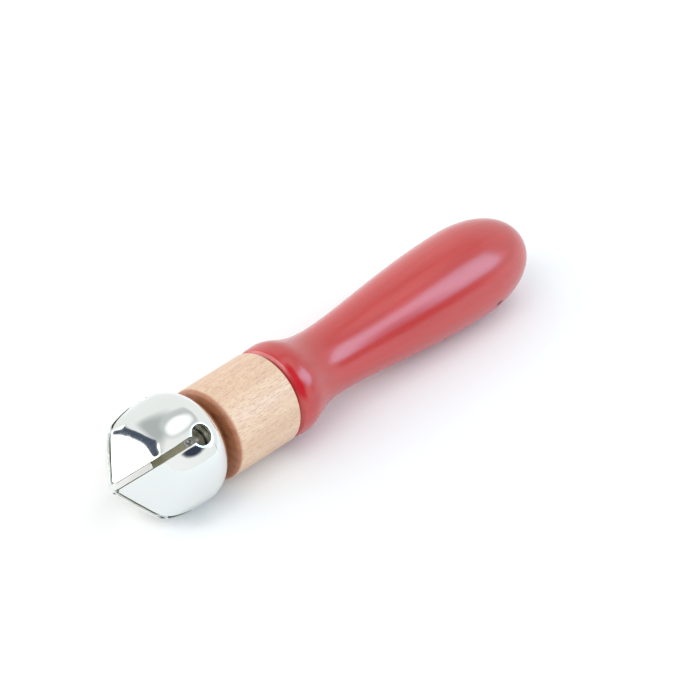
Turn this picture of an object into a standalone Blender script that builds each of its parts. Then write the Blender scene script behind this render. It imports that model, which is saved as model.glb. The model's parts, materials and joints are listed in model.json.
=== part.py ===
"""Rattle stick: a turned wooden handle, a plain wood collar and a four-petal jingle bell.

The stick lies on its side. Every piece is modelled along the stick's own axis, local X,
measured from the joint between handle and collar: the handle runs to +X, the bell to -X.
The bell hangs loosely on a screw with a washer, so at rest the table holds it a little high.
"""

import math

import bmesh
import bpy
from mathutils import Matrix, Vector

# Driving dimensions, in metres
FACETS = 32                      # sides of every turned piece, with a flat one underneath
SEAT_GAP = 0.0003                # gap between faces that touch
BORE_CLEARANCE = 0.00015         # radial gap of a pin in its hole

HANDLE_LENGTH = 0.0967
BEAD_FACE_RADIUS = 0.0114
BEAD_EDGE = 0.0004               # how far the bead's front edge draws in under its crown
BEAD_AT = 0.0040
BEAD_RADIUS = 0.01265
NECK_AT = 0.0217
NECK_RADIUS = 0.0092
SWELL_AT = 0.0750
SWELL_RADIUS = 0.01257

COLLAR_LENGTH = 0.0221
COLLAR_RADIUS = 0.0125
COLLAR_FRONT_ROUND = 0.0014
COLLAR_BACK_ROUND = 0.0004

DOWEL_RADIUS = 0.0040
DOWEL_FLUTE = 0.00025
DOWEL_CHAMFER = 0.0008
DOWEL_IN_COLLAR = 0.0080
DOWEL_IN_HANDLE = 0.0140
GLUE_ROOM = 0.0005               # free space past each end of the dowel
DRILL_POINT = 0.0015             # cone at the bottom of a drilled hole

BELL_RADIUS = 0.0150
BELL_SHEET = 0.0009
BELL_BACK_DEPTH = 0.0102         # from the widest circle back to the flat seat
BELL_DOME_DEPTH = 0.0109         # the back dome's full depth, before its seat is flattened
BELL_CONE_DEPTH = 0.0227         # from the widest circle to the point where the petals would meet
RIDGE_BARREL_CURVE = 0.050       # radius of the lengthwise curve along a slit, behind its bend
RIDGE_CONE_SLOPE = 1.50          # fall of the radius along a slit, in front of its bend
PETAL_BARREL_CURVE = 0.0385      # the same two along the middle of a petal
PETAL_CONE_SLOPE = 1.18
BEND_SOFTNESS = 0.0015
SLIT_WIDTH = 0.0019
SLIT_HOLE_RADIUS = 0.00285
SLIT_HOLE_DEPTH = 0.0011         # from the widest circle to the hole that ends a slit
BELL_PLAY = 0.00125              # how far the bell can shift sideways on its screw

PELLET_RADIUS = 0.0040

SCREW_LENGTH = 0.0120            # under the head
SCREW_RADIUS = 0.00175
SCREW_POINT = 0.0030
SCREW_HEAD_RADIUS = 0.0034
SCREW_HEAD_HEIGHT = 0.0022

WASHER_THICKNESS = 0.0008
WASHER_COVER = 0.0002            # past the edge of the bell's hole, with the bell shifted

# Sizes and places along the stick that follow from them
FLAT_SHARE = math.cos(math.pi / FACETS)
COLLAR_BACK_AT = -SEAT_GAP
COLLAR_FRONT_AT = COLLAR_BACK_AT - COLLAR_LENGTH
BELL_SEAT_AT = COLLAR_FRONT_AT - SEAT_GAP
BELL_WIDEST_AT = BELL_SEAT_AT - BELL_BACK_DEPTH
BELL_TIP_AT = BELL_WIDEST_AT - BELL_CONE_DEPTH + SLIT_WIDTH / math.sqrt(2) / PETAL_CONE_SLOPE
BELL_HOLE_RADIUS = SCREW_RADIUS + BELL_PLAY + BORE_CLEARANCE
PELLET_ORBIT = (BELL_RADIUS - BELL_SHEET) * FLAT_SHARE - SEAT_GAP - PELLET_RADIUS

# The washer clears the inside of the back dome when the bell is shifted
WASHER_RADIUS = BELL_HOLE_RADIUS + BELL_PLAY + WASHER_COVER
WASHER_REACH = (WASHER_RADIUS + BELL_PLAY) / (BELL_RADIUS - BELL_SHEET)
DOME_OVER_WASHER = (BELL_DOME_DEPTH - BELL_SHEET) * math.sqrt(1 - WASHER_REACH ** 2)
WASHER_BACK_AT = BELL_WIDEST_AT + min(DOME_OVER_WASHER, BELL_BACK_DEPTH - BELL_SHEET) - SEAT_GAP
WASHER_FRONT_AT = WASHER_BACK_AT - WASHER_THICKNESS
SCREW_HEAD_AT = WASHER_FRONT_AT - SEAT_GAP
SCREW_END_AT = SCREW_HEAD_AT + SCREW_LENGTH

# The stick lies on the bell's widest circle and the handle's swell
BELL_DROP = BELL_RADIUS * FLAT_SHARE - BELL_PLAY
SWELL_DROP = SWELL_RADIUS * FLAT_SHARE
REST_TILT = math.atan2(BELL_DROP - SWELL_DROP, SWELL_AT - BELL_WIDEST_AT)
AXIS_HEIGHT = BELL_DROP * math.cos(REST_TILT) + BELL_WIDEST_AT * math.sin(REST_TILT)
STICK_MIDDLE = (HANDLE_LENGTH + BELL_TIP_AT) / 2


def clear_scene():
    for old in list(bpy.data.objects):
        bpy.data.objects.remove(old, do_unlink=True)


def make_material(name, colour, roughness, metallic=0.0):
    made = bpy.data.materials.new(name)
    made.use_nodes = True
    shader = made.node_tree.nodes["Principled BSDF"]
    shader.inputs["Base Color"].default_value = (*colour, 1.0)
    shader.inputs["Roughness"].default_value = roughness
    shader.inputs["Metallic"].default_value = metallic
    return made


def bezier(start, leave, arrive, end, steps):
    """Points along a cubic curve, with its start left out."""
    points = []
    for step in range(1, steps + 1):
        t = step / steps
        weights = ((1 - t) ** 3, 3 * t * (1 - t) ** 2, 3 * t ** 2 * (1 - t), t ** 3)
        along = sum(w * p[0] for w, p in zip(weights, (start, leave, arrive, end)))
        radius = sum(w * p[1] for w, p in zip(weights, (start, leave, arrive, end)))
        points.append((along, radius))
    return points


def quarter_round(centre, radius, start_angle, end_angle, steps=4):
    """Points along an arc in the (along, radius) plane."""
    points = []
    for step in range(steps + 1):
        angle = start_angle + (end_angle - start_angle) * step / steps
        points.append((centre[0] + radius * math.cos(angle), centre[1] + radius * math.sin(angle)))
    return points


def turned(profile, closed=False):
    """Spin an (along, radius) outline about local X, leaving a flat facet underneath."""
    bm = bmesh.new()
    half_facet = Matrix.Rotation(math.pi / FACETS, 3, "X")
    verts = [bm.verts.new(half_facet @ Vector((along, 0, -radius))) for along, radius in profile]
    pairs = list(zip(verts, verts[1:]))
    if closed:
        pairs.append((verts[-1], verts[0]))
    edges = [bm.edges.new(pair) for pair in pairs]
    bmesh.ops.spin(bm, geom=verts + edges, cent=(0, 0, 0), axis=(1, 0, 0),
                   angle=math.tau, steps=FACETS, use_merge=True)
    bmesh.ops.remove_doubles(bm, verts=bm.verts, dist=1e-6)
    bmesh.ops.recalc_face_normals(bm, faces=bm.faces)
    return bm


def make_object(name, bm, parent, look=None, sharp_degrees=35):
    mesh = bpy.data.meshes.new(name)
    bm.to_mesh(mesh)
    bm.free()
    mesh.shade_smooth()
    mesh.set_sharp_from_angle(angle=math.radians(sharp_degrees))
    made = bpy.data.objects.new(name, mesh)
    bpy.context.collection.objects.link(made)
    made.parent = parent
    if look:
        mesh.materials.append(look)
    return made


def make_empty(name, location, parent=None):
    made = bpy.data.objects.new(name, None)
    bpy.context.collection.objects.link(made)
    made.location = location
    made.parent = parent
    return made


def make_handle(parent):
    """Bead, cove, neck, long swell and rounded butt, with a blind hole for the dowel."""
    bore = DOWEL_RADIUS + BORE_CLEARANCE
    bore_end = DOWEL_IN_HANDLE + GLUE_ROOM
    face = (0, BEAD_FACE_RADIUS)
    bead = (BEAD_AT, BEAD_RADIUS)
    neck = (NECK_AT, NECK_RADIUS)
    swell = (SWELL_AT, SWELL_RADIUS)
    butt = (HANDLE_LENGTH, 0)
    bead_reach = 0.60 * BEAD_AT
    cove_reach = NECK_AT - BEAD_AT
    swell_reach = SWELL_AT - NECK_AT
    butt_reach = HANDLE_LENGTH - SWELL_AT

    profile = [(bore_end + DRILL_POINT, 0), (bore_end, bore), (0, bore), face]
    profile += bezier(face, (0, BEAD_RADIUS - BEAD_EDGE), (BEAD_AT - bead_reach, BEAD_RADIUS), bead, 5)
    profile += bezier(bead, (BEAD_AT + 0.25 * cove_reach, BEAD_RADIUS),
                      (NECK_AT - 0.63 * cove_reach, NECK_RADIUS), neck, 10)
    profile += bezier(neck, (NECK_AT + 0.25 * swell_reach, NECK_RADIUS),
                      (SWELL_AT - 0.43 * swell_reach, SWELL_RADIUS), swell, 12)
    profile += bezier(swell, (SWELL_AT + 0.45 * butt_reach, SWELL_RADIUS),
                      (HANDLE_LENGTH, 0.73 * SWELL_RADIUS), butt, 12)
    look = make_material("red_lacquer", (0.50, 0.035, 0.045), 0.30)
    return make_object("handle", turned(profile), parent, look)


def make_collar(parent):
    """Plain cylinder: a dowel hole in its back face, the screw's pilot hole in its front."""
    bore = DOWEL_RADIUS + BORE_CLEARANCE
    bore_end = COLLAR_BACK_AT - DOWEL_IN_COLLAR - GLUE_ROOM
    pilot = SCREW_RADIUS + BORE_CLEARANCE
    pilot_end = SCREW_END_AT + GLUE_ROOM
    front = (COLLAR_FRONT_AT + COLLAR_FRONT_ROUND, COLLAR_RADIUS - COLLAR_FRONT_ROUND)
    back = (COLLAR_BACK_AT - COLLAR_BACK_ROUND, COLLAR_RADIUS - COLLAR_BACK_ROUND)

    profile = [(pilot_end, 0), (pilot_end - SCREW_POINT, pilot), (COLLAR_FRONT_AT, pilot)]
    profile += quarter_round(front, COLLAR_FRONT_ROUND, math.pi, math.pi / 2)
    profile += quarter_round(back, COLLAR_BACK_ROUND, math.pi / 2, 0, 3)
    profile += [(COLLAR_BACK_AT, bore), (bore_end, bore), (bore_end, 0)]
    look = make_material("natural_wood", (0.76, 0.57, 0.44), 0.55)
    return make_object("collar", turned(profile), parent, look)


def make_dowel(parent):
    """Fluted joining dowel, chamfered at both ends, glued into handle and collar."""
    front_end = COLLAR_BACK_AT - DOWEL_IN_COLLAR
    back_end = DOWEL_IN_HANDLE
    profile = [(front_end, 0), (front_end, DOWEL_RADIUS - DOWEL_CHAMFER),
               (front_end + DOWEL_CHAMFER, DOWEL_RADIUS), (back_end - DOWEL_CHAMFER, DOWEL_RADIUS),
               (back_end, DOWEL_RADIUS - DOWEL_CHAMFER), (back_end, 0)]
    bm = turned(profile)
    for vert in bm.verts:
        radius = math.hypot(vert.co.y, vert.co.z)
        column = round(math.atan2(vert.co.y, vert.co.z) / math.tau * FACETS - 0.5)
        if radius > 0 and column % 2:
            vert.co.yz = vert.co.yz * (1 - DOWEL_FLUTE / radius)
    look = make_material("dowel_wood", (0.72, 0.58, 0.42), 0.65)
    return make_object("dowel", bm, parent, look)


def front_radius(depth, inset, barrel_curve, cone_slope):
    """Radius of a skin in front of the widest circle: a barrel that bends softly into a cone."""
    cone_depth = BELL_CONE_DEPTH - inset * math.hypot(1, 1 / cone_slope)
    share = depth / cone_depth
    barrel = BELL_RADIUS - inset - depth ** 2 / (2 * barrel_curve)
    cone = cone_slope * (cone_depth - depth)
    softness = 4 * share * (1 - share) * BEND_SOFTNESS
    return max(barrel + cone - math.hypot(barrel - cone, softness), 0) / 2


def bell_skin(inset):
    """One skin of the bell before its petals are pressed, from the screw hole to the tip."""
    radius = BELL_RADIUS - inset
    dome = BELL_DOME_DEPTH - inset
    seat_angle = math.acos((BELL_BACK_DEPTH - inset) / dome)
    points = [(BELL_SEAT_AT - inset, BELL_HOLE_RADIUS)]
    dome_steps = 8
    for step in range(dome_steps + 1):
        angle = seat_angle + (math.pi / 2 - seat_angle) * step / dome_steps
        points.append((BELL_WIDEST_AT + dome * math.cos(angle), radius * math.sin(angle)))
    cone_depth = BELL_CONE_DEPTH - inset * math.hypot(1, 1 / RIDGE_CONE_SLOPE)
    front_steps = 18
    for step in range(1, front_steps + 1):
        depth = cone_depth * step / front_steps
        ridge = front_radius(depth, inset, RIDGE_BARREL_CURVE, RIDGE_CONE_SLOPE)
        points.append((BELL_WIDEST_AT - depth, ridge))
    return points


def press_petals(bm):
    """Flatten the front of the bell between its four slits, which stand on the ridges."""
    for vert in bm.verts:
        depth = BELL_WIDEST_AT - vert.co.x
        ridge = front_radius(depth, 0, RIDGE_BARREL_CURVE, RIDGE_CONE_SLOPE)
        middle = front_radius(depth, 0, PETAL_BARREL_CURVE, PETAL_CONE_SLOPE)
        if depth > 0 and middle > 0:
            squareness = math.log(ridge / middle) / math.log(math.sqrt(2))
            from_middle = math.atan2(vert.co.y, vert.co.z) % (math.pi / 2)
            from_middle = min(from_middle, math.pi / 2 - from_middle)
            vert.co.yz = vert.co.yz * middle / (ridge * math.cos(from_middle) ** squareness)


def make_cutter(name, bm, parent, turn):
    cutter = make_object(name, bm, parent)
    cutter.rotation_euler.x = turn
    cutter.hide_render = True
    cutter.display_type = "WIRE"
    return cutter


def make_bell(parent):
    """One-piece pressed bell: flat seat, domed back, four petals parted by crossing slits."""
    profile = bell_skin(0) + bell_skin(BELL_SHEET)[::-1]
    bm = turned(profile, closed=True)
    press_petals(bm)
    look = make_material("bright_nickel", (0.80, 0.82, 0.84), 0.12, 1.0)
    shell = make_object("bell_shell", bm, parent, look)

    reach = 3 * BELL_RADIUS
    hole_at = BELL_WIDEST_AT - SLIT_HOLE_DEPTH
    for index in range(2):
        turn = math.pi / 4 + index * math.pi / 2
        slab = bmesh.new()
        place = Matrix.Translation((hole_at - reach / 2, 0, 0))
        size = Matrix.Diagonal((reach, SLIT_WIDTH, reach, 1))
        bmesh.ops.create_cube(slab, size=1, matrix=place @ size)
        drill = bmesh.new()
        bmesh.ops.create_cone(drill, cap_ends=True, segments=24, radius1=SLIT_HOLE_RADIUS,
                              radius2=SLIT_HOLE_RADIUS, depth=reach,
                              matrix=Matrix.Translation((hole_at, 0, 0)))
        for kind, cutter_mesh in (("slit", slab), ("slit_end", drill)):
            cut = shell.modifiers.new(f"{kind}_{index}", "BOOLEAN")
            cut.operation = "DIFFERENCE"
            cut.solver = "EXACT"
            cut.object = make_cutter(f"{kind}_cutter_{index}", cutter_mesh, parent, turn)
    return shell


def make_pellet(parent):
    """Loose steel ball, lying on the bell's wall and free to roll round its axis."""
    axis_point = make_empty("pellet_orbit", (BELL_WIDEST_AT, 0, 0), parent)
    bm = bmesh.new()
    bmesh.ops.create_uvsphere(bm, u_segments=24, v_segments=16, radius=PELLET_RADIUS,
                              matrix=Matrix.Translation((0, 0, -PELLET_ORBIT)))
    look = make_material("pellet_steel", (0.45, 0.44, 0.42), 0.30, 1.0)
    return make_object("pellet", bm, axis_point, look)


def make_washer(parent):
    """Flat washer that keeps the screw's head from passing through the bell's wide hole."""
    hole = SCREW_RADIUS + BORE_CLEARANCE
    profile = [(WASHER_BACK_AT, hole), (WASHER_BACK_AT, WASHER_RADIUS),
               (WASHER_FRONT_AT, WASHER_RADIUS), (WASHER_FRONT_AT, hole)]
    look = make_material("washer_steel", (0.60, 0.60, 0.58), 0.40, 1.0)
    return make_object("washer", turned(profile, closed=True), parent, look)


def make_screw(parent):
    """Pan-head wood screw through washer and bell, driven along the axis into the collar."""
    head_top = SCREW_HEAD_AT - SCREW_HEAD_HEIGHT
    rim = SCREW_HEAD_AT - 0.4 * SCREW_HEAD_HEIGHT
    profile = [(SCREW_END_AT, 0), (SCREW_END_AT - SCREW_POINT, SCREW_RADIUS),
               (SCREW_HEAD_AT, SCREW_RADIUS), (SCREW_HEAD_AT, SCREW_HEAD_RADIUS),
               (rim, SCREW_HEAD_RADIUS)]
    profile += bezier((rim, SCREW_HEAD_RADIUS), (head_top, SCREW_HEAD_RADIUS),
                      (head_top, 0.6 * SCREW_HEAD_RADIUS), (head_top, 0), 5)
    look = make_material("screw_steel", (0.55, 0.55, 0.56), 0.35, 1.0)
    return make_object("bell_screw", turned(profile), parent, look)


clear_scene()
stick = make_empty("stick", (-STICK_MIDDLE * math.cos(REST_TILT), 0, AXIS_HEIGHT))
stick.rotation_euler.y = REST_TILT
make_handle(stick)
make_collar(stick)
make_dowel(stick)
make_screw(stick)
make_washer(stick)
bell_axis = make_empty("bell_axis", (0, 0, BELL_PLAY), stick)
make_bell(bell_axis)
make_pellet(bell_axis)
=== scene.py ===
import json
import math

import bmesh
import bpy
from mathutils import Matrix, Vector


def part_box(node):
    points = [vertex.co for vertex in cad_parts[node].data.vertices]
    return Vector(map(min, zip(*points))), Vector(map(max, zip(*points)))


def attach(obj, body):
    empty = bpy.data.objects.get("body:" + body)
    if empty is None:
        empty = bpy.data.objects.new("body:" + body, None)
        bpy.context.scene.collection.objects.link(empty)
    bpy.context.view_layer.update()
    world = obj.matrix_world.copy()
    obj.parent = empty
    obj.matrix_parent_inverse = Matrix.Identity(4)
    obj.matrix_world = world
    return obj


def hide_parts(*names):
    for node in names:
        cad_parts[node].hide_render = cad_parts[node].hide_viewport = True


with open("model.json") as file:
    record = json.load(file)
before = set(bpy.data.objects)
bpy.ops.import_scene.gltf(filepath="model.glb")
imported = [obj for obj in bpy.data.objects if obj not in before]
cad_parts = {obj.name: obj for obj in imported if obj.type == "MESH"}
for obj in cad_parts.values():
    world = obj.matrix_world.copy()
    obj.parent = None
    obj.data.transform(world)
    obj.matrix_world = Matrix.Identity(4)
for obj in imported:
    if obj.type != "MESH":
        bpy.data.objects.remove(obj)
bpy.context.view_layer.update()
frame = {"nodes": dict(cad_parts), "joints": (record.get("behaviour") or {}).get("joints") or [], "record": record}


# Handle. Hardwood turned on a lathe to a bead, a cove, a slim neck and a long swell, sanded, and
# dipped in red satin lacquer. Its front face is bored for the dowel that joins it to the collar.
# Like all the pieces it is drawn along a local X that starts where the handle meets the collar.
handle_length, handle_sides = 0.0967, 128
chamfer_at, chamfer_radius = 0.0006, 0.01090
lip_at, lip_radius = 0.0015, 0.01218
lip_run, lip_rise = 0.00008, 0.00011
shoulder_at, shoulder_radius = 0.0020, 0.01238
roll_run, roll_rise = 0.0002, 0.00004
shoulder_run, shoulder_rise = 0.0009, 0.00018
bead_at, bead_radius, bead_run = 0.0050, 0.01265, 0.0012
neck_at, neck_radius = 0.0217, 0.0092
bead_hold, neck_lead = 0.25, 0.63
swell_at, swell_radius = 0.0750, 0.01257
neck_hold, swell_lead = 0.25, 0.43
swell_hold, butt_fullness = 0.45, 0.73
dowel_hole_radius, handle_hole_depth = 0.00415, 0.0145
drill_point = 0.0015
nick_at, nick_angle, nick_radius = 0.0775, math.radians(113), 0.0124
nick_length, nick_width, nick_depth = 0.0013, 0.00070, 0.00015

grip = frame["record"]["mounts"][0]
axis = Vector(grip["axis"]).normalized()
tilt = math.asin(-axis.z)
joint_point = Vector(grip["pos_m"]) - axis * swell_at
on_stick = Matrix.Translation(joint_point) @ Matrix.Rotation(tilt, 4, "Y")


def curve_points(start, leave, arrive, end, steps):
    """Points along a cubic curve, with its start left out."""
    points = []
    for step in range(1, steps + 1):
        t = step / steps
        weights = ((1 - t) ** 3, 3 * t * (1 - t) ** 2, 3 * t ** 2 * (1 - t), t ** 3)
        corners = (start, leave, arrive, end)
        points.append(tuple(sum(w * c[k] for w, c in zip(weights, corners)) for k in (0, 1)))
    return points


def turned(profile, sides, closed=False):
    """Spin an (along, radius) outline about local X."""
    bm = bmesh.new()
    verts = [bm.verts.new((along, 0, -radius)) for along, radius in profile]
    pairs = list(zip(verts, verts[1:]))
    if closed:
        pairs.append((verts[-1], verts[0]))
    edges = [bm.edges.new(pair) for pair in pairs]
    bmesh.ops.spin(bm, geom=verts + edges, cent=(0, 0, 0), axis=(1, 0, 0),
                   angle=math.tau, steps=sides, use_merge=True)
    bmesh.ops.remove_doubles(bm, verts=bm.verts, dist=1e-7)
    bmesh.ops.recalc_face_normals(bm, faces=bm.faces)
    return bm


def lay_on_stick(name, bm, material, sharp_degrees=40):
    mesh = bpy.data.meshes.new(name)
    bmesh.ops.transform(bm, matrix=on_stick, verts=bm.verts)
    bm.to_mesh(mesh)
    bm.free()
    mesh.shade_smooth()
    mesh.set_sharp_from_angle(angle=math.radians(sharp_degrees))
    mesh.materials.append(material)
    piece = bpy.data.objects.new(name, mesh)
    bpy.context.scene.collection.objects.link(piece)
    return piece


class Wiring:
    """Adds nodes to a tree, and sets each named input to a value or wires it to a socket."""

    def __init__(self, tree):
        self.nodes = tree.nodes
        self.links = tree.links

    def add(self, kind, values=None, **settings):
        node = self.nodes.new(kind)
        for key, value in settings.items():
            setattr(node, key, value)
        for key, value in (values or {}).items():
            if isinstance(value, bpy.types.NodeSocket):
                self.links.new(value, node.inputs[key])
            else:
                node.inputs[key].default_value = value
        return node

    def ramp(self, value, low, high, start=0.0, end=1.0):
        values = {"Value": value, "From Min": low, "From Max": high, "To Min": start, "To Max": end}
        return self.add("ShaderNodeMapRange", values, interpolation_type="SMOOTHSTEP").outputs["Result"]

    def reckon(self, operation, first, second=0.0):
        return self.add("ShaderNodeMath", {0: first, 1: second}, operation=operation).outputs[0]

    def vector(self, operation, first, second=(0, 0, 0)):
        output = "Value" if operation in ("DOT_PRODUCT", "LENGTH") else "Vector"
        values = {0: first, 1: second}
        return self.add("ShaderNodeVectorMath", values, operation=operation).outputs[output]

    def blend(self, share, first, second):
        values = {"Factor": share, 6: first, 7: second}
        return self.add("ShaderNodeMix", values, data_type="RGBA").outputs[2]


class Look(Wiring):
    """A node material whose patterns run along the stick: X follows the axis, Y and Z cross it."""

    def __init__(self, name):
        self.material = bpy.data.materials.new(name)
        self.material.use_nodes = True
        super().__init__(self.material.node_tree)
        self.shader = self.nodes["Principled BSDF"]
        place = self.add("ShaderNodeTexCoord").outputs["Object"]
        values = {"Vector": place, "Location": joint_point, "Rotation": (0, tilt, 0)}
        self.along = self.add("ShaderNodeMapping", values, vector_type="TEXTURE").outputs["Vector"]

    def noise(self, scale, detail, stretch=(1, 1, 1)):
        stretched = self.vector("MULTIPLY", self.along, stretch)
        values = {"Vector": stretched, "Scale": scale, "Detail": detail}
        return self.add("ShaderNodeTexNoise", values).outputs["Fac"]

    def distance_along(self):
        return self.add("ShaderNodeSeparateXYZ", {0: self.along}).outputs["X"]

    def bump(self, height, distance, under=None):
        values = {"Height": height, "Distance": distance, "Strength": 1.0}
        if under:
            values["Normal"] = under
        return self.add("ShaderNodeBump", values).outputs["Normal"]

    def to(self, socket, value):
        self.links.new(value, self.shader.inputs[socket])

    def all_over(self, socket, value):
        self.shader.inputs[socket].default_value = value


def red_lacquer():
    look = Look("red_lacquer")
    deep_red, bright_red = (0.435, 0.013, 0.014, 1), (0.48, 0.018, 0.017, 1)
    joint_shade_red, lip_shade_red = (0.40, 0.010, 0.014, 1), (0.45, 0.004, 0.012, 1)
    nick_brown = (0.035, 0.012, 0.009, 1)
    white, black = (1, 1, 1, 1), (0, 0, 0, 1)
    along = look.distance_along()
    grain = look.noise(420, detail=4, stretch=(0.05, 1, 1))
    coated = look.blend(look.ramp(grain, 0.3, 0.7), deep_red, bright_red)
    # Painted shade: the coat is painted a deeper red at the joint with the collar and over the bead, fading out
    # down the cove to the neck.
    joint_painted_shade = look.ramp(along, 0.004, 0.020, 0.25, 0.0)
    coated = look.blend(joint_painted_shade, coated, joint_shade_red)

    # Painted shade on one side of the lip: the coat there is painted a deeper red and reflects less, so that it
    # looks dark as in a crevice.
    shaded_lip_side = (0, -0.743, 0.669)
    shaded_lip_across = look.ramp(look.vector("DOT_PRODUCT", look.along, shaded_lip_side), 0.0108, 0.0119)
    shaded_lip_along = look.ramp(along, 0.0024, 0.0034, 1.0, 0.0)
    lip_painted_shade = look.reckon("MULTIPLY", shaded_lip_across, shaded_lip_along)
    coated = look.blend(lip_painted_shade, coated, lip_shade_red)

    # A small dark nick through the coat, near the butt.
    nick_centre = (nick_at, -nick_radius * math.sin(nick_angle), nick_radius * math.cos(nick_angle))
    shrunk = (1 / nick_length, 1 / nick_width, 1 / nick_width)
    from_nick = look.vector("MULTIPLY", look.vector("SUBTRACT", look.along, nick_centre), shrunk)
    nick = look.ramp(look.vector("LENGTH", from_nick), 0.7, 1.3, 1.0, 0.0)
    look.to("Base Color", look.blend(nick, coated, nick_brown))

    specks = look.add("ShaderNodeTexVoronoi", {"Vector": look.along, "Scale": 210.0}).outputs["Distance"]
    nibs = look.ramp(specks, 0.03, 0.11, 1.0, 0.0)
    peel = look.noise(1500, detail=2)
    lathe_rings = look.noise(900, detail=2, stretch=(1, 0.02, 0.02))
    rings = look.bump(lathe_rings, 0.000001)
    skin = look.bump(peel, 0.0000005, rings)
    dusted = look.bump(nibs, 0.000006, skin)
    look.to("Normal", look.bump(nick, -nick_depth, dusted))
    satin = look.ramp(peel, 0.3, 0.7, 0.22, 0.26)
    look.to("Roughness", look.reckon("MAXIMUM", satin, look.reckon("MULTIPLY", nick, 0.9)))
    # The nick and the painted shade on the lip both turn the reflection down.
    nick_and_lip_shade = look.reckon("MAXIMUM", nick, look.reckon("MULTIPLY", lip_painted_shade, 0.8))
    look.to("Specular Tint", look.blend(nick_and_lip_shade, white, black))
    look.all_over("Specular IOR Level", 1.0)
    look.all_over("Sheen Weight", 0.12)
    look.all_over("Sheen Roughness", 0.4)
    return look.material


cove, swelling, butt = neck_at - bead_at, swell_at - neck_at, handle_length - swell_at
handle_profile = [(handle_hole_depth + drill_point, 0), (handle_hole_depth, dowel_hole_radius),
                  (0, dowel_hole_radius), (0, chamfer_radius - chamfer_at),
                  (chamfer_at, chamfer_radius), (lip_at, lip_radius)]
handle_curves = [
    ((lip_at + lip_run, lip_radius + lip_rise), (shoulder_at - roll_run, shoulder_radius - roll_rise),
     (shoulder_at, shoulder_radius), 6),
    ((shoulder_at + shoulder_run, shoulder_radius + shoulder_rise), (bead_at - bead_run, bead_radius),
     (bead_at, bead_radius), 16),
    ((bead_at + bead_hold * cove, bead_radius), (neck_at - neck_lead * cove, neck_radius),
     (neck_at, neck_radius), 28),
    ((neck_at + neck_hold * swelling, neck_radius), (swell_at - swell_lead * swelling, swell_radius),
     (swell_at, swell_radius), 40),
    ((swell_at + swell_hold * butt, swell_radius), (handle_length, butt_fullness * swell_radius),
     (handle_length, 0), 40),
]
for leave, arrive, end, steps in handle_curves:
    handle_profile += curve_points(handle_profile[-1], leave, arrive, end, steps)
handle = lay_on_stick("turned_handle", turned(handle_profile, handle_sides), red_lacquer())
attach(handle, "stick")
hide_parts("handle")


# Collar. A length of round beech stock with its grain along the stick, front edge rounded over,
# sanded and oiled, so that its end grain is much darker than its side. It is bored at the back for
# the dowel and drilled in front for the bell's screw.
collar_front, collar_back = -0.0224, -0.0003
collar_radius, collar_sides = 0.0125, 160
front_round, back_round = 0.0014, 0.0004
pilot_radius, pilot_end, pilot_point = 0.0019, -0.0127, 0.0030
collar_hole_end = -0.0088
fleck_depth = 0.00002


def arc_points(centre, radius, start, end, steps):
    angles = [start + (end - start) * step / steps for step in range(steps + 1)]
    return [(centre[0] + radius * math.cos(a), centre[1] + radius * math.sin(a)) for a in angles]


def natural_wood():
    look = Look("natural_wood")
    pale, tan = (0.76, 0.55, 0.385, 1), (0.69, 0.47, 0.315, 1)
    streak, cloud = (0.61, 0.39, 0.265, 1), (0.58, 0.34, 0.235, 1)
    fleck = (0.49, 0.26, 0.18, 1)
    bands = look.noise(260, detail=3, stretch=(0.05, 1, 1))
    streaks = look.noise(1500, detail=3, stretch=(0.06, 1, 1))
    mottle = look.noise(1900, detail=3, stretch=(0.5, 1, 1))
    long_flecks = look.noise(3400, detail=1, stretch=(0.13, 1, 1))
    short_flecks = look.noise(4600, detail=1, stretch=(0.22, 1, 1))
    ground = look.blend(look.ramp(bands, 0.35, 0.68), pale, tan)
    streaked = look.blend(look.ramp(streaks, 0.45, 0.72, 0, 0.45), ground, streak)
    clouded = look.blend(look.ramp(mottle, 0.5, 0.75, 0, 0.35), streaked, cloud)
    flecks = look.reckon("MAXIMUM", look.ramp(long_flecks, 0.54, 0.70, 0, 0.6),
                         look.ramp(short_flecks, 0.54, 0.72, 0, 0.5))
    side = look.blend(flecks, clouded, fleck)

    ring_dark, ring_light, pore = (0.32, 0.105, 0.041, 1), (0.415, 0.15, 0.062, 1), (0.20, 0.06, 0.024, 1)
    pores = look.noise(3200, detail=1)
    rings = look.noise(700, detail=3, stretch=(0.2, 0.35, 1))
    end_ground = look.blend(look.ramp(rings, 0.3, 0.7), ring_dark, ring_light)
    end = look.blend(look.ramp(pores, 0.56, 0.68, 0, 0.6), end_ground, pore)
    side_from, end_from = collar_front + 0.85 * front_round, collar_front + 0.25 * front_round
    on_end = look.ramp(look.distance_along(), side_from, end_from)
    look.to("Base Color", look.blend(on_end, side, end))
    look.to("Roughness", look.ramp(streaks, 0.3, 0.7, 0.36, 0.48))
    look.to("Normal", look.bump(flecks, -fleck_depth))
    look.all_over("Specular IOR Level", 0.8)
    return look.material


collar_profile = [(pilot_end, 0), (pilot_end - pilot_point, pilot_radius), (collar_front, pilot_radius)]
collar_profile += [(collar_front, 0.5 * collar_radius)]
collar_profile += arc_points((collar_front + front_round, collar_radius - front_round), front_round,
                             math.pi, math.pi / 2, 12)
collar_profile += arc_points((collar_back - back_round, collar_radius - back_round), back_round,
                             math.pi / 2, 0, 6)
collar_profile += [(collar_back, dowel_hole_radius), (collar_hole_end, dowel_hole_radius)]
collar_profile += [(collar_hole_end, 0)]
collar = lay_on_stick("wood_collar", turned(collar_profile, collar_sides), natural_wood())
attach(collar, "stick")
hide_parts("collar")


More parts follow.
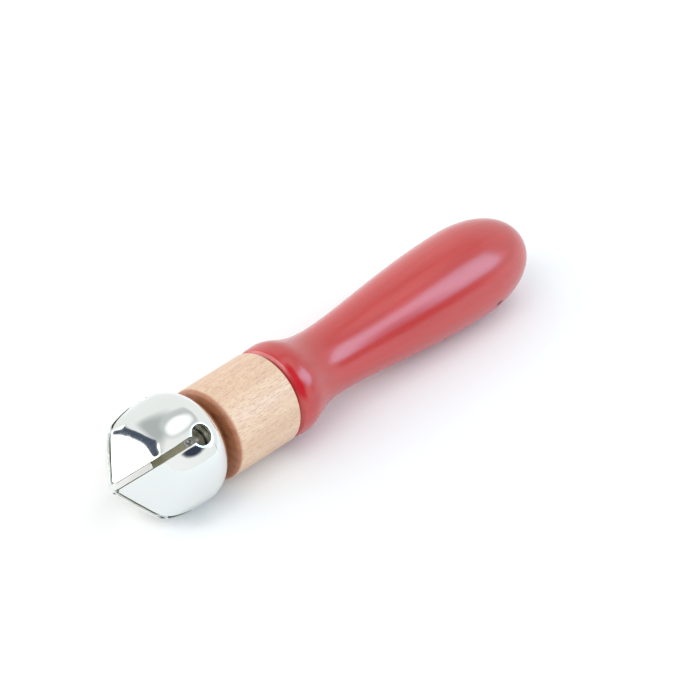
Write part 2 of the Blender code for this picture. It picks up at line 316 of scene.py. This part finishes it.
# Dowel. A short fluted beech dowel with chamfered ends, left raw, glued into the bores of the collar
# and the handle to hold the two in line.
def raw_beech():
    look = Look("raw_beech")
    pale, tan, fleck = (0.74, 0.58, 0.42, 1), (0.60, 0.43, 0.29, 1), (0.40, 0.23, 0.14, 1)
    streaks = look.noise(1200, detail=3, stretch=(0.05, 1, 1))
    flecks = look.noise(2600, detail=1, stretch=(0.12, 1, 1))
    ground = look.blend(look.ramp(streaks, 0.3, 0.7), pale, tan)
    look.to("Base Color", look.blend(look.ramp(flecks, 0.58, 0.70, 0, 0.7), ground, fleck))
    look.to("Roughness", look.ramp(streaks, 0.3, 0.7, 0.62, 0.76))
    look.to("Normal", look.bump(streaks, 0.00004))
    return look.material


frame["nodes"]["dowel"].data.materials.clear()
frame["nodes"]["dowel"].data.materials.append(raw_beech())


# Bell screw. A zinc-plated pan-head wood screw with a cross recess, driven through the washer and
# the bell's hole into the collar.
screw_head_at, screw_length, screw_point = -0.0252, 0.0120, 0.0030
thread_radius, core_radius, thread_pitch = 0.00175, 0.00125, 0.0012
head_radius, head_height = 0.0034, 0.0022
head_middle, head_crown, head_rim = 0.06, 0.6, 0.4
recess_depth, recess_width, recess_reach, recess_taper = 0.0014, 0.0007, 0.0019, 0.55
screw_sides = 48
rows_per_turn = 10


def zinc_plate(name, tone):
    look = Look(name)
    look.all_over("Metallic", 1.0)
    haze = look.noise(900, detail=3)
    dull = tuple(0.8 * value for value in tone)
    look.to("Base Color", look.blend(haze, (*tone, 1), (*dull, 1)))
    look.to("Roughness", look.ramp(haze, 0.3, 0.7, 0.28, 0.40))
    return look.material


def screw_radius(along, angle):
    """Radius of the threaded shank, which runs out to its point."""
    turn = (along - screw_head_at) / thread_pitch - angle / math.tau
    crest = 1 - abs(2 * (turn % 1) - 1)
    radius = core_radius + (thread_radius - core_radius) * max(2 * crest - 1, 0)
    to_end = screw_head_at + screw_length - along
    return radius * min(to_end / screw_point, 1)


def threaded_screw():
    bm = bmesh.new()
    head_top = screw_head_at - head_height
    rim = screw_head_at - head_rim * head_height
    stations = [(head_top, head_middle * head_radius)]
    stations += curve_points((head_top, 0), (head_top, head_crown * head_radius),
                             (head_top, head_radius), (rim, head_radius), 10)
    stations += [(screw_head_at, head_radius), (screw_head_at, thread_radius)]
    steps = round(rows_per_turn * screw_length / thread_pitch)
    stations += [(screw_head_at + screw_length * step / steps, None) for step in range(1, steps)]
    rows = []
    for along, radius in stations:
        row = []
        for side in range(screw_sides):
            angle = math.tau * side / screw_sides
            reach = screw_radius(along, angle) if radius is None else radius
            row.append(bm.verts.new((along, reach * math.sin(angle), reach * math.cos(angle))))
        rows.append(row)
    for near, far in zip(rows, rows[1:]):
        for side in range(screw_sides):
            after = (side + 1) % screw_sides
            bm.faces.new((near[side], near[after], far[after], far[side]))
    bm.faces.new(rows[0])
    bm.faces.new(rows[-1])
    bmesh.ops.recalc_face_normals(bm, faces=bm.faces)
    return bm


def cross_recess():
    """Two crossed bars that taper inwards, for cutting the driver's recess."""
    bm = bmesh.new()
    top = screw_head_at - head_height
    for turn in (0, math.pi / 2):
        middle = Matrix.Rotation(turn, 4, "X") @ Matrix.Translation((top, 0, 0))
        size = Matrix.Diagonal((2 * recess_depth, recess_width, 2 * recess_reach, 1))
        made = bmesh.ops.create_cube(bm, size=1, matrix=middle @ size)["verts"]
        for vert in made:
            if vert.co.x > top:
                vert.co.yz = vert.co.yz * recess_taper
    return bm


def as_plain_mesh(piece):
    """Freeze a piece's modifiers into its mesh."""
    bpy.context.view_layer.update()
    evaluated = piece.evaluated_get(bpy.context.evaluated_depsgraph_get())
    frozen = bpy.data.meshes.new_from_object(evaluated)
    piece.modifiers.clear()
    piece.data = frozen


screw_zinc = zinc_plate("screw_zinc", (0.60, 0.60, 0.61))
screw = lay_on_stick("wood_screw", threaded_screw(), screw_zinc, sharp_degrees=30)
driver = lay_on_stick("driver", cross_recess(), screw_zinc)
recess = screw.modifiers.new("recess", "BOOLEAN")
recess.operation = "DIFFERENCE"
recess.use_self = True
recess.object = driver
as_plain_mesh(screw)
bpy.data.objects.remove(driver)
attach(screw, "stick")
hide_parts("bell_screw")


# Washer. A stamped steel ring under the screw's head, wide enough to cover the bell's loose hole.
# The punch has rounded its edges on one side.
washer_back, washer_thickness = -0.0241, 0.0008
washer_radius, washer_hole, washer_sides = 0.0046, 0.0019, 64
washer_round = 0.0003

washer_front = washer_back - washer_thickness
washer_profile = [(washer_back, washer_hole), (washer_back, washer_radius)]
washer_profile += arc_points((washer_front + washer_round, washer_radius - washer_round), washer_round,
                             math.pi / 2, math.pi, 5)
washer_profile += arc_points((washer_front + washer_round, washer_hole + washer_round), washer_round,
                             math.pi, 1.5 * math.pi, 5)
washer = lay_on_stick("stamped_washer", turned(washer_profile, washer_sides, closed=True),
                      zinc_plate("washer_zinc", (0.64, 0.64, 0.60)))
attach(washer, "stick")
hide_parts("washer")


# Bell. One blank of thin sheet steel, drawn to a cup with a flat seat, slit twice across, with a round
# hole punched at each slit's end, then bent shut along a crease so that its four petals meet, and
# bright plated. It turns loosely on its screw, with its own axis a little above the stick's.
bell_radius, bell_sheet = 0.0150, 0.0009
bell_widest_at, bell_seat_at = -0.0329, -0.0227
back_dome = 0.0109
cone_depth = 0.0227
ridge_barrel, ridge_slope = 0.050, 1.50
petal_barrel, petal_slope = 0.0385, 1.18
bend_softness = 0.0015
slit_half, slit_hole_radius, slit_hole_depth = 0.00095, 0.00285, 0.0011
draw_depth, draw_width = 0.00006, 0.00018
rolled_edge = 0.00015
screw_hole_radius = 0.00315
petal_tip_radius, tip_search_step = 0.0018, 0.00001
petal_count = 4
petal_columns = 44
seat_shares = (0, 0.25, 0.5, 0.75)
weld_distance = 0.00001

joints = {joint["name"]: joint for joint in frame["joints"]}
bell_middle = Vector(joints["pellet_roll"]["pos_m"])
on_bell = Matrix.Translation(bell_middle - axis * bell_widest_at) @ Matrix.Rotation(tilt, 4, "Y")
hole_at = bell_widest_at - slit_hole_depth


def front_radius(depth, barrel_curve, slope):
    """Radius in front of the widest circle: a barrel that bends softly into a cone."""
    share = depth / cone_depth
    barrel = bell_radius - depth ** 2 / (2 * barrel_curve)
    cone = slope * (cone_depth - depth)
    softness = 4 * share * (1 - share) * bend_softness
    return (barrel + cone - math.hypot(barrel - cone, softness)) / 2


def bell_wall(along, angle):
    """Radius of the bell's outer skin, at an angle from the middle of a petal."""
    depth = bell_widest_at - along
    if depth <= 0:
        return bell_radius * math.sqrt(1 - (depth / back_dome) ** 2)
    ridge = front_radius(depth, ridge_barrel, ridge_slope)
    middle = front_radius(depth, petal_barrel, petal_slope)
    squareness = math.log(ridge / middle) / math.log(math.sqrt(2))
    return middle / math.cos(angle) ** squareness


def drawn_in(along, angle, radius):
    """How far the punch has drawn the skin inwards beside a slit and its end hole."""
    across = (math.pi / 4 - abs(angle)) * radius
    from_cut = math.hypot(along - hole_at, across) - slit_hole_radius
    if along < hole_at:
        from_cut = min(from_cut, across - slit_half)
    return draw_depth * math.exp(-max(from_cut, 0) / draw_width)


def petal_edge(along, offset):
    """Angle at which a petal stops, so that it stays that far from the middle of its slit."""
    angle = math.pi / 4
    for _ in range(20):
        angle = math.pi / 4 - math.asin(min(offset / bell_wall(along, angle), math.sqrt(0.5)))
    return angle


def petal_rows():
    """Stations along one petal, each with how far its edge keeps from the slit's middle."""
    rows = []
    dome_steps, hole_steps, front_steps = 34, 26, 60
    hole_start = hole_at + slit_hole_radius
    for step in range(dome_steps):
        share = math.sin(math.pi / 2 * step / dome_steps) ** 1.5
        rows.append((bell_seat_at + (hole_start - bell_seat_at) * share, 0.0))
    last_turn = math.pi - math.asin(slit_half / slit_hole_radius)
    for step in range(hole_steps + 1):
        turn = last_turn * step / hole_steps
        rows.append((hole_at + slit_hole_radius * math.cos(turn), slit_hole_radius * math.sin(turn)))
    first_depth = bell_widest_at - rows[-1][0]
    last_depth = first_depth
    while front_radius(last_depth, petal_barrel, petal_slope) > petal_tip_radius:
        last_depth += tip_search_step
    for step in range(1, front_steps + 1):
        depth = first_depth + (last_depth - first_depth) * step / front_steps
        rows.append((bell_widest_at - depth, slit_half))
    return rows


def petal_skin():
    """One quarter of the bell's outer skin, with the seat's quarter behind it."""
    bm = bmesh.new()
    stations = []
    seat_edge = bell_wall(bell_seat_at, 0)
    for share in seat_shares:
        radius = screw_hole_radius + (seat_edge - screw_hole_radius) * share
        stations.append((bell_seat_at, radius, math.pi / 4))
    for along, offset in petal_rows():
        stations.append((along, None, petal_edge(along, offset)))
    rows = []
    for along, seat_radius, edge in stations:
        row = []
        for column in range(petal_columns + 1):
            angle = edge * math.sin(math.pi / 2 * (2 * column / petal_columns - 1))
            radius = seat_radius or bell_wall(along, angle)
            radius -= drawn_in(along, angle, radius)
            row.append(bm.verts.new((along, radius * math.sin(angle), radius * math.cos(angle))))
        rows.append(row)
    for near, far in zip(rows, rows[1:]):
        for column in range(petal_columns):
            bm.faces.new((near[column], near[column + 1], far[column + 1], far[column]))
    mesh = bpy.data.meshes.new("petal_skin")
    bm.to_mesh(mesh)
    bm.free()
    return mesh


def petal_ring():
    """Node tree that sets the petals round the axis and joins their backs into one sheet."""
    tree = bpy.data.node_groups.new("petal_ring", "GeometryNodeTree")
    tree.interface.new_socket("Petal", in_out="INPUT", socket_type="NodeSocketGeometry")
    tree.interface.new_socket("Petals", in_out="INPUT", socket_type="NodeSocketInt")
    tree.interface.new_socket("Weld", in_out="INPUT", socket_type="NodeSocketFloat")
    tree.interface.new_socket("Plating", in_out="INPUT", socket_type="NodeSocketMaterial")
    tree.interface.new_socket("Bell", in_out="OUTPUT", socket_type="NodeSocketGeometry")
    ring = Wiring(tree)
    given = ring.add("NodeGroupInput").outputs
    spots = ring.add("GeometryNodePoints", {"Count": given["Petals"]}).outputs["Points"]
    index = ring.add("GeometryNodeInputIndex").outputs["Index"]
    step = ring.reckon("DIVIDE", math.tau, given["Petals"])
    angle = ring.reckon("MULTIPLY", index, step)
    turn = ring.add("ShaderNodeCombineXYZ", {"X": angle}).outputs["Vector"]
    values = {"Points": spots, "Instance": given["Petal"], "Rotation": turn}
    petals = ring.add("GeometryNodeInstanceOnPoints", values).outputs["Instances"]
    real = ring.add("GeometryNodeRealizeInstances", {"Geometry": petals}).outputs["Geometry"]
    values = {"Geometry": real, "Distance": given["Weld"]}
    welded = ring.add("GeometryNodeMergeByDistance", values).outputs["Geometry"]
    values = {"Geometry": welded, "Material": given["Plating"]}
    plated = ring.add("GeometryNodeSetMaterial", values).outputs["Geometry"]
    ring.add("NodeGroupOutput", {"Bell": plated})
    return tree


def bright_plating():
    look = Look("bright_plating")
    look.all_over("Metallic", 1.0)
    look.all_over("Base Color", (0.785, 0.80, 0.785, 1))
    waves = look.noise(170, detail=2)
    haze = look.noise(1400, detail=4)
    look.to("Roughness", look.ramp(haze, 0.35, 0.75, 0.04, 0.08))
    look.to("Normal", look.bump(waves, 0.00003))
    return look.material


def dull_inside():
    look = Look("dull_inside")
    look.all_over("Metallic", 0.4)
    clean, stained = (0.78, 0.76, 0.60, 1), (0.62, 0.59, 0.44, 1)
    stain = look.noise(420, detail=4)
    look.to("Base Color", look.blend(look.ramp(stain, 0.35, 0.7), clean, stained))
    look.to("Roughness", look.ramp(stain, 0.3, 0.7, 0.34, 0.48))
    return look.material


plating = bright_plating()
bell = bpy.data.objects.new("jingle_bell", petal_skin())
bpy.context.scene.collection.objects.link(bell)
ring = bell.modifiers.new("petal_ring", "NODES")
ring.node_group = petal_ring()
sockets = {item.name: item.identifier for item in ring.node_group.interface.items_tree}
ring[sockets["Petals"]] = petal_count
ring[sockets["Weld"]] = weld_distance
ring[sockets["Plating"]] = plating
as_plain_mesh(bell)
skin = bmesh.new()
skin.from_mesh(bell.data)
bmesh.ops.recalc_face_normals(skin, faces=skin.faces)
skin.to_mesh(bell.data)
skin.free()
bell.data.materials.clear()
bell.data.materials.append(plating)
bell.data.materials.append(dull_inside())
bell.data.polygons.foreach_set("material_index", [0] * len(bell.data.polygons))
sheet = bell.modifiers.new("sheet", "SOLIDIFY")
sheet.thickness = bell_sheet
sheet.offset = -1
sheet.use_even_offset = True
sheet.material_offset = 1
sheet.material_offset_rim = 0
rolled = bell.modifiers.new("rolled_edges", "BEVEL")
rolled.width = rolled_edge
rolled.segments = 3
rolled.limit_method = "ANGLE"
rolled.angle_limit = math.radians(50)
as_plain_mesh(bell)
bell.data.transform(on_bell)
bell.data.shade_smooth()
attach(bell, "bell")
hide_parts("bell_shell")


# Pellet. A loose steel ball, too large for the bell's holes and slits, that was dropped in before the
# petals were bent shut and rolls on the bell's wall.
pellet_radius = 0.0040


def plain_steel():
    look = Look("plain_steel")
    look.all_over("Metallic", 1.0)
    bright, worn = (0.50, 0.49, 0.47, 1), (0.36, 0.35, 0.33, 1)
    wear = look.noise(500, detail=4)
    look.to("Base Color", look.blend(look.ramp(wear, 0.35, 0.7), bright, worn))
    look.to("Roughness", look.ramp(wear, 0.3, 0.7, 0.22, 0.38))
    return look.material


pellet_low, pellet_high = (Vector(corner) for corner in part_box("pellet"))
pellet_mesh = bmesh.new()
bmesh.ops.create_icosphere(pellet_mesh, subdivisions=5, radius=pellet_radius,
                           matrix=Matrix.Translation((pellet_low + pellet_high) / 2))
pellet_data = bpy.data.meshes.new("steel_pellet")
pellet_mesh.to_mesh(pellet_data)
pellet_mesh.free()
pellet_data.shade_smooth()
pellet_data.materials.append(plain_steel())
pellet = bpy.data.objects.new("steel_pellet", pellet_data)
bpy.context.scene.collection.objects.link(pellet)
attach(pellet, "pellet")
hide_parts("pellet")


# Table. A plain sheet of matt white paper that the stick lies on, lit almost to pure white.
table_size = 0.5
paper_white = (0.88, 0.88, 0.88, 1)


def matt_surface(name, tone, shine):
    matt = bpy.data.materials.new(name)
    matt.use_nodes = True
    shader = matt.node_tree.nodes["Principled BSDF"]
    shader.inputs["Base Color"].default_value = tone
    shader.inputs["Roughness"].default_value = 0.9
    shader.inputs["Specular IOR Level"].default_value = shine
    return matt


table_mesh = bmesh.new()
bmesh.ops.create_grid(table_mesh, x_segments=1, y_segments=1, size=table_size)
table_data = bpy.data.meshes.new("table")
table_mesh.to_mesh(table_data)
table_mesh.free()
table_data.materials.append(matt_surface("pale_paper", paper_white, 0.1))
table = bpy.data.objects.new("table", table_data)
bpy.context.scene.collection.objects.link(table)


# Light. A white tent, grey overhead but for one lit patch, with a bright panel on the left, a dark gap
# above that panel's slanting edge, and a small dark spot and a bluish soft box on the right.
# Directions are given as degrees round from the back, to the right, and degrees up.
view_azimuth, view_elevation = math.radians(-48.22), math.radians(35.12)
to_right = Vector((math.cos(view_azimuth), math.sin(view_azimuth), 0))
to_back = Vector((-math.sin(view_azimuth), math.cos(view_azimuth), 0))
tent_white = (1.01, 1.035, 1.03, 1)
front_white = (1.09, 1.10, 1.10, 1)
left_white = (3.00, 2.99, 2.97, 1)
top_grey = (0.53, 0.56, 0.56, 1)
ring_grey = (0.68, 0.71, 0.705, 1)
top_lit = (1.40, 1.40, 1.40, 1)
gap_dark = (0.085, 0.107, 0.15, 1)
spot_dark = (0.045, 0.055, 0.085, 1)
lamp_distance, lamp_radiance = 1.0, 3.4
lamp_wide_degrees, lamp_high_degrees = 24, 31
lamp_blue = (0.37, 0.70, 1.0)


def towards(round_degrees, up_degrees):
    turn, lift = math.radians(round_degrees), math.radians(up_degrees)
    level = to_right * math.sin(turn) + to_back * math.cos(turn)
    return level * math.cos(lift) + Vector((0, 0, math.sin(lift)))


def edge_through(back, middle, front):
    """Upward direction, and height along it, of a straight edge seen through three directions."""
    upward = (middle - back).cross(front - back).normalized()
    upward *= math.copysign(1, upward.z)
    return upward, upward.dot(middle)


world = bpy.data.worlds.new("studio")
bpy.context.scene.world = world
world.use_nodes = True
studio = Wiring(world.node_tree)
direction = studio.add("ShaderNodeTexCoord").outputs["Generated"]


def nearness(target):
    return studio.vector("DOT_PRODUCT", direction, target)


def round_patch(middle, full_within, gone_beyond):
    """One within the first angle from a direction, nought beyond the second."""
    inner, outer = math.cos(math.radians(full_within)), math.cos(math.radians(gone_beyond))
    return studio.ramp(nearness(middle), outer, inner)


def panel(top, foot, sides):
    return studio.reckon("MULTIPLY", studio.reckon("MULTIPLY", top, foot), sides)


tent = studio.blend(round_patch(towards(165, 14), 25, 75), tent_white, front_white)
tent = studio.blend(round_patch(towards(-60, 72), 14, 36), tent, top_grey)
tent = studio.blend(round_patch(towards(46, 65), 16, 25), tent, ring_grey)
tent = studio.blend(round_patch(towards(57, 67), 7, 17), tent, top_lit)
box_up, box_edge = edge_through(towards(-77, 27), towards(-97, 34), towards(-114, 45))
gap_up, gap_edge = edge_through(towards(-63, 26.7), towards(-97, 43), towards(-114, 56))
height = nearness(box_up)
gap_top = studio.ramp(nearness(gap_up), gap_edge - 0.008, gap_edge + 0.016, 1.0, 0.0)
gap_foot = studio.ramp(height, box_edge - 0.20, box_edge - 0.10)
gap_sides = round_patch(towards(-97, 35), 30, 40)
tent = studio.blend(panel(gap_top, gap_foot, gap_sides), tent, gap_dark)
box_top = studio.ramp(height, box_edge - 0.012, box_edge + 0.004, 1.0, 0.0)
box_foot = studio.ramp(height, box_edge - 0.72, box_edge - 0.62)
box_sides = round_patch(towards(-115, 16), 52, 56)
tent = studio.blend(panel(box_top, box_foot, box_sides), tent, left_white)
tent = studio.blend(round_patch(towards(109, 24), 6.5, 12.5), tent, spot_dark)
studio.links.new(tent, studio.nodes["Background"].inputs["Color"])
studio.nodes["Background"].inputs["Strength"].default_value = 1.0

lamp_towards = towards(87, 29.5)
lamp_width = 2 * lamp_distance * math.tan(math.radians(lamp_wide_degrees / 2))
lamp_height = 2 * lamp_distance * math.tan(math.radians(lamp_high_degrees / 2))
lamp_side = Vector((0, 0, 1)).cross(lamp_towards).normalized()
lamp_axes = Matrix((lamp_side, lamp_towards.cross(lamp_side), lamp_towards)).transposed()
lamp_data = bpy.data.lights.new("right_soft_box", "AREA")
lamp_data.shape = "RECTANGLE"
lamp_data.size = lamp_width
lamp_data.size_y = lamp_height
lamp_data.energy = lamp_radiance * math.pi * lamp_width * lamp_height
lamp_data.color = lamp_blue
lamp = bpy.data.objects.new("right_soft_box", lamp_data)
bpy.context.scene.collection.objects.link(lamp)
lamp.location = lamp_towards * lamp_distance
lamp.rotation_mode = "QUATERNION"
lamp.rotation_quaternion = lamp_axes.to_quaternion()


# Dark flag. A low matt board stood beside the stick, end on to the bell, that only shows as the deep
# red band under the handle's long highlight. It grows taller with its distance, and stops below the
# soft box.
flag_from, flag_turn = Vector((-0.060, 0, 0)), math.radians(-40)
flag_near, flag_far = 0.15, 0.40
flag_near_top, flag_far_top, flag_foot = 0.039, 0.083, 0.004
flag_dark = (0.16, 0.16, 0.16, 1)

flag_along = Vector((math.cos(flag_turn), math.sin(flag_turn), 0))
flag_corners = []
for reach, top in ((flag_near, flag_near_top), (flag_far, flag_far_top)):
    flag_corners.append(flag_from + flag_along * reach + Vector((0, 0, flag_foot)))
    flag_corners.append(flag_from + flag_along * reach + Vector((0, 0, top)))
flag_data = bpy.data.meshes.new("dark_flag")
flag_data.from_pydata(flag_corners, [], [(0, 2, 3, 1)])
flag_data.materials.append(matt_surface("flag_paint", flag_dark, 0.5))
flag = bpy.data.objects.new("dark_flag", flag_data)
bpy.context.scene.collection.objects.link(flag)
flag.visible_camera = False
flag.visible_diffuse = False
flag.visible_shadow = False


# Camera. A long lens, set where the photograph was taken from.
focal_pixels, photo_width, sensor_width = 4500, 700, 36
joint_in_view = Vector((-0.02127, -0.01188, -1.126))

camera_data = bpy.data.cameras.new("camera")
camera_data.sensor_width = sensor_width
camera_data.lens = focal_pixels / photo_width * sensor_width
camera_data.clip_start = 0.01
camera_data.clip_end = 50
camera = bpy.data.objects.new("camera", camera_data)
bpy.context.scene.collection.objects.link(camera)
to_camera = towards(180, math.degrees(view_elevation))
camera.rotation_mode = "QUATERNION"
camera.rotation_quaternion = (-to_camera).to_track_quat("-Z", "Y")
camera.location = joint_point - camera.rotation_quaternion @ joint_in_view
bpy.context.scene.camera = camera
bpy.context.scene.view_settings.view_transform = "Standard"
